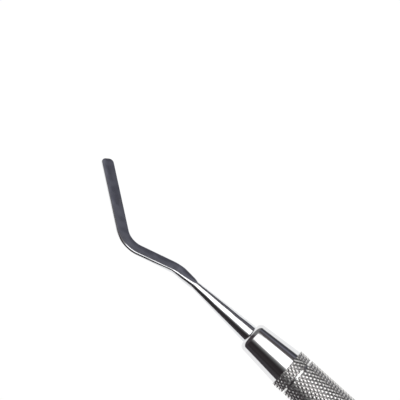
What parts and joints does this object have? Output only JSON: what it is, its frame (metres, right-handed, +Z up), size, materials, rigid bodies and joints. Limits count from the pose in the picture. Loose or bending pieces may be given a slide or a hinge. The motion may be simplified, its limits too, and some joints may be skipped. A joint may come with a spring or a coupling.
{
  "type": "plastic filling instrument",
  "caption": "Dental hand instrument: round knurled steel handle with a bent, thin flat blade at each end, one edgewise and one flatwise, for placing and shaping soft filling material.",
  "frame": {"origin": "the middle of the handle, on its axis", "axes": "+X along the handle to the end whose blade lies in the plane of its bends (the hatchet end); +Z up, with the instrument lying on its handle and on the tip of that blade, 3.98 mm under the origin"},
  "size_m": [0.1791, 0.0171, 0.0087],
  "materials": {
    "knurled_steel": "satin, cut with a diamond knurl",
    "polished_steel": "mirror polished",
    "blade_steel": "mirror polished"
  },
  "bodies": {
    "root": {"handle_tube": "knurled_steel", "hatchet_ferrule": "polished_steel", "hoe_ferrule": "polished_steel", "hatchet_working_end": "blade_steel", "hoe_working_end": "blade_steel"}
  },
  "joints": []
}
